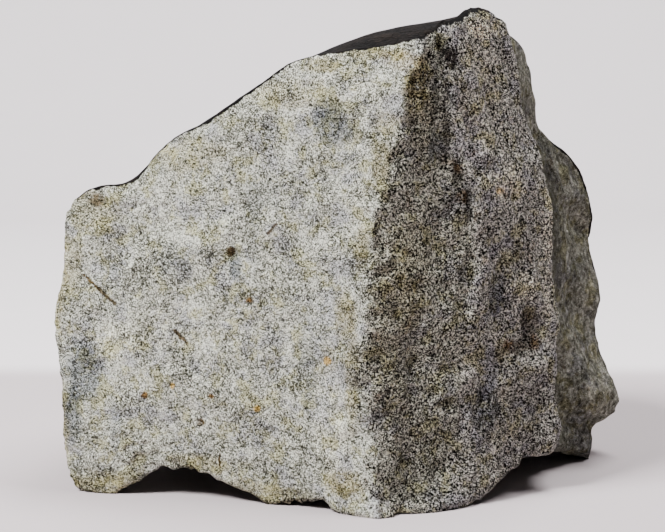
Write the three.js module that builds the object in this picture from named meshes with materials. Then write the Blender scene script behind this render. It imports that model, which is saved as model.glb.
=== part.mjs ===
// A broken stony meteorite that stands on its own lumps.
// The stone is one piece: four fresh fracture faces in front and at the sides, a rounded melted skin on top and behind,
// and a hollowed underside. Each face is a patch stretched between the stone's own edges.
//
// Units are millimetres. Edge points are written from the near corner's foot: x to the right, y back, z up.
// The finished stone is then moved so that the origin is at the middle of its base, with +Z up.

import * as THREE from 'three';
import { ImprovedNoise } from 'three/addons/math/ImprovedNoise.js';
import { ParametricGeometry } from 'three/addons/geometries/ParametricGeometry.js';
import { mergeGeometries, mergeVertices } from 'three/addons/utils/BufferGeometryUtils.js';

// How finely each face is divided, as steps along its edges.
const STEPS_UP = 30;
const STEPS_FRONT = 24;
const STEPS_BAND = 5;
const STEPS_RIGHT = 8;
const STEPS_FAR = 9;
const STEPS_REAR_RIGHT = 8;
const STEPS_SIDE = STEPS_BAND + STEPS_RIGHT + STEPS_FAR + STEPS_REAR_RIGHT;

// Roughness of the faces: height and spacing of the broad swells and of the smaller hummocks.
// Both fade out near a face's edges, over this share of its width.
const SWELL_HEIGHT = 1.1;
const SWELL_SPACING = 19;
const HUMMOCK_HEIGHT = 0.7;
const HUMMOCK_SPACING = 6.5;
const CALM_RIM = 0.12;

// Anything this low at the base has been rubbed flat where the stone stands.
const FOOT_CUT = 0.7;

// Rounding of the melted skin: how many times it is relaxed, and how far each time.
const SKIN_PASSES = 14;
const SKIN_PULL = 0.6;

// Corners of the stone.
const LEFT_FOOT = [-61, 20, 0.8];
const LEFT_SHOULDER = [-61.5, 23, 63.5];
const NEAR_FOOT = [0, -1, 0];
const NEAR_TOP = [12.5, 4, 98.5];
const CREASE_FOOT = [15.5, 2.5, 0];
const CREASE_TOP = [16, 9, 100.5];
const RIGHT_FOOT = [42, 21, 9];
const RIGHT_TOP = [29, 21, 102];
const FAR_FOOT = [53.5, 48.5, 0.5];
const FAR_SHOULDER = [50.5, 50, 68];
const REAR_FOOT = [30, 80, -9];
const REAR_TOP = [27, 80, 82];
const BACK_FOOT = [-40, 68, -6];
const BACK_TOP = [-43, 64, 53];

const edge = (...points) =>
  new THREE.CatmullRomCurve3(points.map((p) => new THREE.Vector3(...p)), false, 'centripetal');

// Upright edges, from the base to the top.
const leftEdge = edge(
  LEFT_FOOT, [-63.2, 20, 2.2], [-64.1, 20, 4.2], [-63.8, 20, 7], [-64, 20, 10.5], [-64.5, 20, 17.5],
  [-64.5, 20.5, 24], [-65.5, 21, 30],
  [-66, 21, 37], [-65.5, 21, 41.5], [-63.7, 22, 46], [-63.7, 22, 54], [-63.3, 22.5, 59.5], LEFT_SHOULDER,
);
const nearRidge = edge(
  NEAR_FOOT, [-2.2, 0, 4], [-2.2, 0, 16], [-1.8, 0, 24.5], [-1, 0.3, 35], [0.8, 0.6, 45], [2.2, 1, 55.5],
  [3, 1.2, 64.5], [4.6, 1.4, 71], [6.6, 1.6, 77], [9.8, 2.2, 89], NEAR_TOP,
);
const crease = edge(
  CREASE_FOOT, [18, 7, 8], [19, 8, 23], [20.7, 8.5, 37.5], [22, 9, 52], [22, 9, 65], [20.7, 8.5, 71],
  [18.6, 8, 79.5], [17.3, 8, 86.5], CREASE_TOP,
);
const rightEdge = edge(
  RIGHT_FOOT, [43, 21, 13.5], [42.5, 21, 20], [41.7, 21, 28.5], [42.4, 21, 37.5], [42, 21, 44], [41, 21, 52],
  [40.7, 21, 61.5], [39, 21, 70.5], [36.2, 21, 77], [34.2, 21, 83], [31.8, 21, 93.5], RIGHT_TOP,
);
const farEdge = edge(
  FAR_FOOT, [55.8, 48, 3.8], [54.5, 49, 7.3], [57.3, 51, 8.8], [60.2, 52, 10.2], [61.1, 53, 13.8],
  [59, 54, 20], [57, 54, 25], [55.6, 54, 31.5], [57, 54, 36.7], [56, 54, 42.5], [53.6, 54, 51],
  [54.3, 53, 55.5], [52.7, 52, 62], FAR_SHOULDER,
);
const rearEdge = edge(REAR_FOOT, [39, 87, 12], [44, 91, 30], [43, 90, 50], [37, 87, 68], REAR_TOP);
const backEdge = edge(BACK_FOOT, [-50, 72, 12], [-54, 72, 27], [-51, 69, 42], BACK_TOP);

// Edges round the base, anticlockwise from the left foot as seen from above.
const frontBase = edge(
  LEFT_FOOT, [-57.5, 19, 0.3], [-55, 18, 0], [-52.5, 17.5, 0], [-47.8, 16.5, 2.5], [-44.3, 16, 4.3],
  [-38.3, 14.5, 5.8], [-34.6, 13.5, 5.4], [-28.5, 11.5, 2.1], [-25, 10.5, 1.8], [-20.5, 9, 0.3],
  [-15, 7.5, 1.7], [-11, 5.5, 2.1], [-7, 3.5, 1.2], [-3.5, 1, 0.4], NEAR_FOOT,
);
const bandBase = edge(NEAR_FOOT, [4, -2.5, 0], [7.5, -0.5, 0], [9.7, 2, 0.9], [12.3, 1.5, 0], CREASE_FOOT);
const rightBase = edge(
  CREASE_FOOT, [20.3, 5.5, 0], [23.6, 8.5, 0.3], [26.4, 10, 1.6], [31, 13, 4.1], [34.3, 15, 5],
  [36.4, 17, 6.8], RIGHT_FOOT,
);
const farBase = edge(RIGHT_FOOT, [42.6, 29, 5.6], [45.6, 37, 3.4], [50, 44, 1.3], FAR_FOOT);
const rearRightBase = edge(FAR_FOOT, [51, 58, 1], [44, 72, -1], REAR_FOOT);
const backBase = edge(BACK_FOOT, [-22, 77, 1.5], [2, 82, 2], [17, 82, -3], REAR_FOOT);
const leftBase = edge(LEFT_FOOT, [-61, 30, 1.8], [-56, 44, 1.6], [-48, 57, 0.4], BACK_FOOT);

// Edges round the top, in the same order.
const frontCrest = edge(
  LEFT_SHOULDER, [-58, 22, 66.2], [-53.5, 21, 67.4], [-48, 19.5, 69], [-44.6, 18.5, 72.8], [-39.2, 17, 77.4],
  [-31, 14.5, 81.4], [-30, 14, 82.4], [-23, 12, 87.2], [-15.8, 10, 92.6], [-11.4, 8.5, 94.4],
  [-6.5, 7, 95.2], [3.2, 5, 96.5], [8, 4.2, 97.5], NEAR_TOP,
);
const bandTop = edge(NEAR_TOP, [14, 6.5, 99.8], CREASE_TOP);
const rightTop = edge(
  CREASE_TOP, [19.2, 11, 101.2], [21.6, 14, 103.2], [25, 17, 103.6], [27, 19, 102.9], RIGHT_TOP,
);
const farTop = edge(
  RIGHT_TOP, [31.1, 24, 99.2], [34.4, 28, 97.5], [36.8, 32, 94], [38.4, 36, 88.8], [39.6, 40, 81.8],
  [41, 43, 76.7], [43.9, 46, 73.1], [48.4, 49, 70.6], FAR_SHOULDER,
);
const rearRightTop = edge(FAR_SHOULDER, [48, 61, 70], [38, 73, 77], REAR_TOP);
const backTop = edge(BACK_TOP, [-27, 72, 64], [-8, 79, 76], [10, 82, 83], REAR_TOP);
const leftTop = edge(LEFT_SHOULDER, [-60.5, 34, 63], [-54, 50, 59], BACK_TOP);

// Lumps and hollows: where each one is, how wide it reaches, and how far it pushes the surface.
const REGIONS = [
  { name: 'broad swell of the back', at: [0, 60, 72], reach: [35, 25, 22], push: [0, 3, 15] },
  { name: 'knob on the skin', at: [7.5, 51, 82], reach: [18, 15, 36], push: [0, 0, 11] },
  { name: 'rim swell behind the crest', at: [6, 15, 96], reach: [13, 9, 10], push: [0, -0.5, 1] },
  { name: 'dip behind the left shoulder', at: [-47, 27, 70], reach: [8, 9, 7], push: [0, 0, -3.5] },
  { name: 'arch under the left half', at: [-32, 27, 2], reach: [19, 12, 12], push: [0, 0, 11] },
  { name: 'hollow under the middle', at: [2, 44, 2], reach: [19, 22, 12], push: [0, 0, 8] },
  { name: 'hollow under the right side', at: [32, 34, 3], reach: [11, 15, 10], push: [0, 0, 6] },
  { name: 'foot at the left corner', at: [-54, 23, 4], reach: [8, 9, 8], push: [0, 0, -3] },
  { name: 'heel of the far foot', at: [50, 55, 3], reach: [7, 8, 5], push: [1, 0, -3] },
  { name: 'pocket in the right face', at: [38, 17, 35], reach: [6, 6, 6.5], push: [-1.4, 2.2, 0] },
  { name: 'ledge under the pocket', at: [39, 18, 28], reach: [6, 6, 2.6], push: [0.9, -1.4, 0] },
  { name: 'lower hollow behind the right edge', at: [47, 33, 24], reach: [9, 10, 22], push: [-6, 1.5, 0] },
  { name: 'upper hollow behind the right edge', at: [45, 32, 60], reach: [9, 9, 17], push: [-6, 1.5, 0] },
  { name: 'flat below the right top', at: [37, 29, 84], reach: [9, 7, 13], push: [-3, 0.6, 0] },
  { name: 'notch above the far shoulder', at: [42, 36, 77], reach: [9, 8, 7], push: [-4, 0.5, 0] },
  { name: 'fullness below the far shoulder', at: [45, 43, 62], reach: [7, 8, 14], push: [1, -1.2, 0] },
  { name: 'bulge low on the far face', at: [55, 45, 15], reach: [7, 8, 6.5], push: [0.8, -4, 0] },
  { name: 'thumbprint on the top', at: [-23, 42, 79], reach: [15, 11, 12], push: [0.6, 0, -4] },
  { name: 'thumbprint by the shoulder', at: [-46, 44, 63], reach: [11, 9, 10], push: [0.5, 0, -3] },
  { name: 'thumbprint behind the right top', at: [25, 39, 88], reach: [10, 10, 12], push: [0, 0, -4] },
  { name: 'upper thumbprint at the back', at: [-16, 74, 66], reach: [14, 12, 12], push: [1, -4.5, -1] },
  { name: 'middle thumbprint at the back', at: [14, 86, 56], reach: [13, 11, 12], push: [0, -5, -0.5] },
  { name: 'lower thumbprint at the back', at: [-22, 80, 34], reach: [15, 11, 13], push: [1, -4.8, 0] },
  { name: 'thumbprint at the rear corner', at: [38, 84, 30], reach: [11, 11, 13], push: [-3, -3, 0] },
  { name: 'low thumbprint at the back', at: [10, 86, 20], reach: [12, 10, 9], push: [0, -4, 0] },
  { name: 'dish in the left face', at: [-60, 46, 34], reach: [10, 15, 16], push: [3.5, 0.5, 0] },
  { name: 'lump low on the left face', at: [-58, 36, 12], reach: [8, 10, 8], push: [-2, 0, 0] },
];

const noise = new ImprovedNoise();

// Smooth bump that is 1 at the middle of a region and fades to 0 at about its reach.
const inRegion = (p, { at, reach }) => {
  const d2 = at.reduce((sum, c, i) => sum + ((p.getComponent(i) - c) / reach[i]) ** 2, 0);
  return Math.exp(-1.6 * d2);
};

// Noise vector at a point, with a different stretch of the noise for each direction.
const hummocks = (p, spacing, height) => {
  const q = p.clone().divideScalar(spacing);
  return new THREE.Vector3(
    noise.noise(q.x + 31.4, q.y, q.z),
    noise.noise(q.x, q.y + 47.1, q.z),
    noise.noise(q.x, q.y, q.z + 58.9),
  ).multiplyScalar(height);
};

// A face between four edges: south and north run along u, west and east run along v.
const face = (south, north, west, east, stepsAlong, stepsUp) => {
  const corners = [south(0), south(1), north(0), north(1)];
  const blend = (target, curvePoint, weight) => target.addScaledVector(curvePoint, weight);
  return new ParametricGeometry((u, v, target) => {
    target.set(0, 0, 0);
    blend(target, south(u), 1 - v);
    blend(target, north(u), v);
    blend(target, west(v), 1 - u);
    blend(target, east(v), u);
    blend(target, corners[0], -(1 - u) * (1 - v));
    blend(target, corners[1], -u * (1 - v));
    blend(target, corners[2], -(1 - u) * v);
    blend(target, corners[3], -u * v);
    const rim = Math.min(u, 1 - u, v, 1 - v) / CALM_RIM;
    const rough = THREE.MathUtils.smoothstep(rim, 0, 1);
    const at = target.clone();
    blend(target, hummocks(at, SWELL_SPACING, SWELL_HEIGHT), rough);
    blend(target, hummocks(at, HUMMOCK_SPACING, HUMMOCK_HEIGHT), rough);
  }, stepsAlong, stepsUp);
};

const along = (curve) => (t) => curve.getPointAt(t);
const back = (curve) => (t) => curve.getPointAt(1 - t);

// Several edges end to end, each given its own number of the steps.
const chain = (...links) => {
  const total = links.reduce((sum, [, steps]) => sum + steps, 0);
  return (t) => {
    let at = t * total;
    for (const [curve, steps] of links) {
      if (at <= steps + 1e-9) return curve.getPointAt(Math.min(at / steps, 1));
      at -= steps;
    }
    return links.at(-1)[0].getPointAt(1);
  };
};

const upright = (base, top, west, east, steps) =>
  face(along(base), along(top), along(west), along(east), steps, STEPS_UP);

const reversed = (curve) => new THREE.CatmullRomCurve3([...curve.points].reverse(), false, 'centripetal');

const brokenFaces = {
  front: upright(frontBase, frontCrest, leftEdge, nearRidge, STEPS_FRONT),
  band: upright(bandBase, bandTop, nearRidge, crease, STEPS_BAND),
  right: upright(rightBase, rightTop, crease, rightEdge, STEPS_RIGHT),
  far: upright(farBase, farTop, rightEdge, farEdge, STEPS_FAR),
};

const skinFaces = {
  rearRight: upright(rearRightBase, rearRightTop, farEdge, rearEdge, STEPS_REAR_RIGHT),
  back: upright(reversed(backBase), reversed(backTop), rearEdge, backEdge, STEPS_FRONT),
  left: upright(reversed(leftBase), reversed(leftTop), backEdge, leftEdge, STEPS_SIDE),
  top: face(
    along(frontCrest), along(backTop), along(leftTop),
    chain([bandTop, STEPS_BAND], [rightTop, STEPS_RIGHT], [farTop, STEPS_FAR], [rearRightTop, STEPS_REAR_RIGHT]),
    STEPS_FRONT, STEPS_SIDE,
  ),
  underside: face(
    along(backBase), along(frontBase), back(leftBase),
    (t) => chain(
      [bandBase, STEPS_BAND], [rightBase, STEPS_RIGHT], [farBase, STEPS_FAR], [rearRightBase, STEPS_REAR_RIGHT],
    )(1 - t),
    STEPS_FRONT, STEPS_SIDE,
  ),
};

// Joins faces by merging the points that they share. The points stay in the order of the faces.
const joinFaces = (parts) => {
  const bare = parts.map((part) => part.clone().deleteAttribute('normal').deleteAttribute('uv'));
  return mergeVertices(mergeGeometries(bare), 1e-3);
};

// Lists, for each point of a body, the points it shares a triangle side with.
const neighboursOf = (geometry) => {
  const near = Array.from({ length: geometry.attributes.position.count }, () => new Set());
  const index = geometry.index.array;
  for (let i = 0; i < index.length; i += 3) {
    for (let k = 0; k < 3; k++) {
      near[index[i + k]].add(index[i + ((k + 1) % 3)]).add(index[i + ((k + 2) % 3)]);
    }
  }
  return near;
};

// Rounds the melted skin by moving each of its points towards the middle of its neighbours.
// The first points belong to the broken faces and stay, so that their rims are left sharp.
const roundSkin = (geometry, brokenPoints) => {
  const position = geometry.attributes.position;
  const near = neighboursOf(geometry);
  for (let pass = 0; pass < SKIN_PASSES; pass++) {
    const before = near.map((_, i) => new THREE.Vector3().fromBufferAttribute(position, i));
    for (let i = brokenPoints; i < before.length; i++) {
      const middle = new THREE.Vector3();
      near[i].forEach((j) => middle.add(before[j]));
      middle.divideScalar(near[i].size);
      const moved = before[i].clone().lerp(middle, SKIN_PULL);
      position.setXYZ(i, moved.x, moved.y, moved.z);
    }
  }
  return geometry;
};

// Raises the lumps and sinks the hollows.
const shapeRegions = (geometry) => {
  const position = geometry.attributes.position;
  for (let i = 0; i < position.count; i++) {
    const p = new THREE.Vector3().fromBufferAttribute(position, i);
    const moved = p.clone();
    for (const region of REGIONS) {
      moved.addScaledVector(new THREE.Vector3(...region.push), inRegion(p, region));
    }
    position.setXYZ(i, moved.x, moved.y, moved.z);
  }
  return geometry;
};

// Flattens the lowest lumps into level feet.
const flattenFeet = (geometry) => {
  const position = geometry.attributes.position;
  for (let i = 0; i < position.count; i++) {
    if (position.getZ(i) < FOOT_CUT) position.setZ(i, 0);
  }
  return geometry;
};

// Moves the body so that the origin is at the middle of its base.
const standAtOrigin = (geometry) => {
  geometry.computeBoundingBox();
  const middle = geometry.boundingBox.getCenter(new THREE.Vector3());
  geometry.translate(-middle.x, -middle.y, -geometry.boundingBox.min.z);
  return geometry;
};

const stone = new THREE.MeshStandardMaterial({ color: 0x8f9189, roughness: 0.95, metalness: 0 });
const broken = Object.values(brokenFaces);
const brokenPoints = joinFaces(broken).attributes.position.count;
const joined = joinFaces([...broken, ...Object.values(skinFaces)]);
const body = standAtOrigin(flattenFeet(shapeRegions(roundSkin(joined, brokenPoints))));
body.computeVertexNormals();

const meteorite = new THREE.Mesh(body, stone);
meteorite.name = 'meteorite';

const group = new THREE.Group();
group.add(meteorite);
export default group;
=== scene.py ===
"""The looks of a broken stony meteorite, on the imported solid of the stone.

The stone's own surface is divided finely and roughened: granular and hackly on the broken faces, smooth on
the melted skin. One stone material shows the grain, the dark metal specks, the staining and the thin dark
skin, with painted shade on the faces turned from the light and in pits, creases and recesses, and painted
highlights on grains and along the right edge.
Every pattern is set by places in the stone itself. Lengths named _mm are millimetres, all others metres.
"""

import logging
import math
from dataclasses import dataclass, field, replace
from enum import Enum
from typing import ClassVar

import bmesh
import bpy
import numpy as np
from mathutils import Euler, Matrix, Vector, kdtree, noise


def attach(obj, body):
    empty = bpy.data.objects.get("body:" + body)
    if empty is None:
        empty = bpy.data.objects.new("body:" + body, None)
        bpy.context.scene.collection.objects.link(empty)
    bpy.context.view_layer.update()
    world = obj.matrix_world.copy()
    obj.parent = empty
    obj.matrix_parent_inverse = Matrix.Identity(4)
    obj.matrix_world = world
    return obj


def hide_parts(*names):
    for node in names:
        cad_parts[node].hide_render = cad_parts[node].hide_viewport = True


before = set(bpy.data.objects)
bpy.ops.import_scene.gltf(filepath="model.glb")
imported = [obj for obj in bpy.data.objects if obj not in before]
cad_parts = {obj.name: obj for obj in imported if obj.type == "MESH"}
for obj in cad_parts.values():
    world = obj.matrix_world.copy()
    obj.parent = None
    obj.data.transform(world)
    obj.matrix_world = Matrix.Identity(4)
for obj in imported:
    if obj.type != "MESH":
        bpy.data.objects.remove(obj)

MM = 0.001
CAD_NODE = "meteorite"
ALL_AXES = {"use_axis_x": True, "use_axis_y": True, "use_axis_z": True}
WHITE = (1.0, 1.0, 1.0, 1.0)

log = logging.getLogger("meteorite")


class Region(Enum):
    """The kinds of surface that the stone has."""

    LIGHT_BREAK = 0
    # Broken faces turned right or down, away from the light: darker partly in their own colour, partly by
    # painted shade.
    DARK_BREAK = 1
    SKIN = 2


def mm(*values: float) -> Vector:
    """A vector given in millimetres."""
    return Vector(values) * MM


def srgb(red: int, green: int, blue: int) -> tuple[float, float, float, float]:
    """A shader colour from the 0 to 255 values that a screen shows.

    Args:
        red, green, blue: Screen values of the colour.

    Returns:
        The colour as linear red, green, blue and an alpha of 1.
    """
    shares = [value / 255 for value in (red, green, blue)]
    linear = [v / 12.92 if v <= 0.04045 else ((v + 0.055) / 1.055) ** 2.4 for v in shares]
    return (*linear, 1.0)


def smooth(value: float) -> float:
    """0 below 0, 1 above 1, and smooth between them."""
    value = min(1.0, max(0.0, value))
    return value * value * (3 - 2 * value)


@dataclass(frozen=True)
class Relief:
    """One layer of roughness: bumps of one size and height.

    A stretch below 1 draws the bumps out along that axis. A ridged layer has sharp crests.
    """

    spacing_mm: float
    height_mm: float
    stretch: tuple[float, float, float] = (1.0, 1.0, 1.0)
    ridged: bool = False
    ridge_shift: ClassVar[Vector] = Vector((7.3, 1.9, 4.4))
    smoothness: ClassVar[float] = 0.9
    finer_by: ClassVar[float] = 2.1
    octaves: ClassVar[int] = 3

    def at(self, place: Vector) -> float:
        """How far this layer lifts the surface at a place, in metres."""
        spot = Vector(c * s for c, s in zip(place, self.stretch)) / (self.spacing_mm * MM)
        if self.ridged:
            value = 1.0 - 2.0 * abs(noise.noise(spot + self.ridge_shift))
        else:
            value = noise.fractal(spot, self.smoothness, self.finer_by, self.octaves)
        return value * self.height_mm * MM


@dataclass(frozen=True)
class Dent:
    """A single round hollow in a broken face."""

    place_mm: tuple[float, float, float]
    reach_mm: float
    depth_mm: float
    steepness: ClassVar[float] = 2.2

    def at(self, place: Vector) -> float:
        """How far this dent sinks the surface at a place, in metres."""
        distance = (place - mm(*self.place_mm)).length / (self.reach_mm * MM)
        return self.depth_mm * MM * math.exp(-self.steepness * distance * distance)


@dataclass(frozen=True)
class Seam:
    """A line down the stone's front, given by pairs of height and how far right it runs there."""

    points_mm: tuple[tuple[float, float], ...]

    def right_at(self, height: float) -> float:
        """How far right the seam is at a height, in metres."""
        points = [(z * MM, x * MM) for z, x in self.points_mm]
        for (low, start), (high, end) in zip(points, points[1:]):
            if height <= high:
                return start + (end - start) * min(1.0, max(0.0, (height - low) / (high - low)))
        return points[-1][1]


CREASE = Seam((
    (9, 20.5), (27, 23.1), (46, 25.1), (61, 26.0),
    (67.4, 24.6), (72.2, 22.3), (79.7, 20.3), (94, 17.9),
))
NEAR_RIDGE = Seam((
    (4, 0.3), (24, 0.7), (35, 1.5), (45, 3.3), (55, 4.7),
    (64, 5.5), (71, 7.1), (77, 9.1), (89, 12.3), (99, 15),
))
RIGHT_EDGE = Seam((
    (10, 43.5), (20, 43.6), (37.4, 44.0), (52.2, 42.8),
    (65.6, 41.1), (76.3, 37.2), (85.6, 34.6), (98, 32.6),
))

BLUE_GREY = (0.36, 0.39, 0.47)
RUST = (0.42, 0.25, 0.12)
DARK_RUST = (0.20, 0.14, 0.08)
OCHRE = (1.15, 0.78, 0.32)
OLIVE = (0.62, 0.55, 0.33)
# Painted shade: darkens pits, the band's side of the crease ledge, the recess behind the right edge and the
# stone's foot.
PAINTED_SHADE = (0.05, 0.04, 0.04)
PALE = (1.75, 1.70, 1.52)


@dataclass(frozen=True)
class StainAndPaintedLight:
    """A tinted patch with a ragged outline. The tint multiplies the stone's own colour. Most patches are
    staining of the stone; the darkest are painted shade in pits, creases and recesses, and a pale strip along
    the right edge is partly painted highlight.
    """

    place_mm: tuple[float, float, float]
    reach_mm: tuple[float, float, float]
    tint: tuple[float, float, float]
    strength: float = 1.0
    fully_ragged_mm: ClassVar[float] = 4.5
    edge_at: ClassVar[float] = 1.1
    edge_sharpness: ClassVar[float] = 1.8

    def at(self, place: Vector, ragged: Vector) -> float:
        """How strongly the patch shows at a place.

        Args:
            place: The place, in metres.
            ragged: How far the outline is shifted there, in millimetres. Small stains take less of it.

        Returns:
            From 0 outside the patch to its strength inside it.
        """
        narrow = min(self.reach_mm[0], self.reach_mm[2])
        offset = (place - mm(*self.place_mm)) / MM + ragged * min(1.0, narrow / self.fully_ragged_mm)
        distance = math.sqrt(sum((c / r) ** 2 for c, r in zip(offset, self.reach_mm)))
        return self.strength * smooth(self.edge_sharpness * (self.edge_at - distance))


@dataclass(frozen=True)
class PointKind:
    """What kind of surface a point lies on.

    The rim distance is negative on the skin. The shares skin, dark, far and streaks run from 0 to 1. They are
    the melted skin, the dark break, the far lobe's face, and the right face past the crease. The dark break
    is the broken faces turned right or down, away from the light: darker partly in their own colour, partly
    by painted shade.
    """

    rim_mm: float
    skin: float
    dark: float
    far: float
    streaks: float
    past_crease_mm: float


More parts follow.
